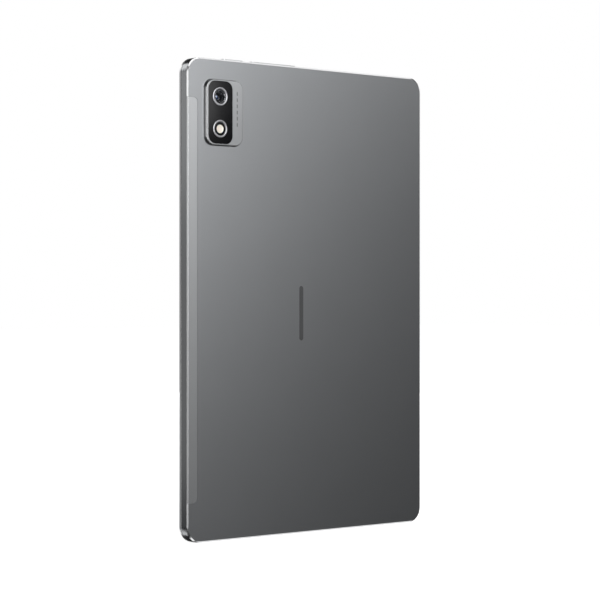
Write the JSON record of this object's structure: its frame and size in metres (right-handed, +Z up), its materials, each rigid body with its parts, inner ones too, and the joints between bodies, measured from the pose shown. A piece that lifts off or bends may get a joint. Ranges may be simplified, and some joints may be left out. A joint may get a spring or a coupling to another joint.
{
  "type": "tablet computer",
  "caption": "Slim tablet computer with a glass touch screen, grey aluminium back, raised rear camera, sprung side keys and a pull-out card tray.",
  "frame": {"origin": "middle of the bounding box at the bottom short edge, the edge it stands on in portrait", "axes": "+Z up along the long side to the end with the keys and the rear camera, +Y out of the back, -Y out of the screen, +X to the long edge beside the rear camera"},
  "size_m": [0.1568, 0.0094, 0.2405],
  "materials": {
    "cover_glass": "polished black-bordered glass",
    "adhesive": "matte",
    "panel_glass": "dark, screen off",
    "light_guide": "clear",
    "pressed_steel": "plain",
    "flex_circuit": "amber film",
    "frame_plastic": "fine satin",
    "housing_aluminium": "fine blasted and anodised grey",
    "strip_plastic": "matte grey paint",
    "antenna_metal": "plated",
    "cable_jacket": "matte",
    "island_aluminium": "bright anodised, polished edge",
    "window_glass": "polished black glass",
    "trim_ring": "polished",
    "lens_glass": "coated lens",
    "diffuser": "clear with a warm centre",
    "led": "phosphor",
    "module_black": "moulded",
    "battery_foil": "laminated foil pouch",
    "adhesive_strip": "pull-tab tape",
    "circuit_board": "solder mask",
    "chip_package": "moulded package",
    "graphite": "graphite film",
    "thermal_pad": "soft",
    "screw_steel": "black zinc",
    "port_steel": "plated",
    "speaker_plastic": "moulded",
    "diaphragm": "film",
    "mesh_black": "woven",
    "key_aluminium": "anodised grey"
  },
  "bodies": {
    "tablet": {"cover_glass": "cover_glass", "display_adhesive": "adhesive", "display_panel": "panel_glass", "light_guide": "light_guide", "backlight_tray": "pressed_steel", "display_flex": "flex_circuit", "mid_frame": "frame_plastic", "rear_cover": "housing_aluminium", "antenna_window": "strip_plastic", "side_antenna": "antenna_metal", "antenna_cable": "cable_jacket", "camera_island": "island_aluminium", "camera_window": "window_glass", "camera_ring": "trim_ring", "camera_lens_cover": "lens_glass", "flash_ring": "trim_ring", "flash_diffuser": "diffuser", "flash_led": "led", "camera_housing": "module_black", "camera_board": "circuit_board", "front_camera": "module_black", "light_sensor": "chip_package", "battery_cell_left": "battery_foil", "battery_cell_right": "battery_foil", "battery_board": "circuit_board", "battery_flex": "flex_circuit", "battery_adhesive": "adhesive_strip", "mainboard": "circuit_board", "processor": "chip_package", "memory_chips": "chip_package", "power_chips": "chip_package", "shield_processor": "pressed_steel", "shield_power": "pressed_steel", "thermal_pad": "thermal_pad", "graphite_sheet": "graphite", "board_screws": "screw_steel", "sub_board": "circuit_board", "usb_shell": "port_steel", "usb_tongue": "module_black", "headphone_jack": "speaker_plastic", "main_flex": "flex_circuit", "speaker_left": "speaker_plastic", "speaker_right": "speaker_plastic", "speaker_diaphragms": "diaphragm", "speaker_meshes": "mesh_black", "microphones": "antenna_metal", "key_bracket": "pressed_steel", "key_flex": "flex_circuit", "volume_pivot_pin": "screw_steel", "card_reader": "pressed_steel"},
    "power_key": {"power_key": "key_aluminium"},
    "volume_key": {"volume_key": "key_aluminium"},
    "card_tray": {"card_tray": "key_aluminium"},
    "eject_rod": {"eject_rod": "screw_steel"},
    "eject_lever": {"eject_lever": "screw_steel"},
    "lens_barrel": {"camera_barrel": "module_black", "camera_lenses": "lens_glass"}
  },
  "joints": [
    {"name": "power_key_press", "type": "slide", "parent": "tablet", "child": "power_key", "axis": [0, 0, -1], "range_m": [0, 0.0003], "stiffness_N_per_m": 6000},
    {"name": "volume_key_rock", "type": "hinge", "parent": "tablet", "child": "volume_key", "pos_m": [0.0224, 0.00005, 0.237], "axis": [0, 1, 0], "range_deg": [-1.2, 1.2], "stiffness_Nm_per_rad": 1},
    {"name": "card_tray_slide", "type": "slide", "parent": "tablet", "child": "card_tray", "axis": [-1, 0, 0], "range_m": [0, 0.03]},
    {"name": "eject_rod_push", "type": "slide", "parent": "tablet", "child": "eject_rod", "axis": [1, 0, 0], "range_m": [0, 0.0015]},
    {"name": "eject_lever_turn", "type": "hinge", "parent": "tablet", "child": "eject_lever", "pos_m": [-0.0442, 0, 0.207], "axis": [0, 1, 0], "range_deg": [0, 17]},
    {"name": "camera_focus", "type": "slide", "parent": "tablet", "child": "lens_barrel", "axis": [0, 1, 0], "range_m": [0, 0.00025], "stiffness_N_per_m": 300}
  ],
  "couplings": [
    {"joint": "eject_lever_turn", "follows": "eject_rod_push", "rad_per_m": 197}
  ]
}
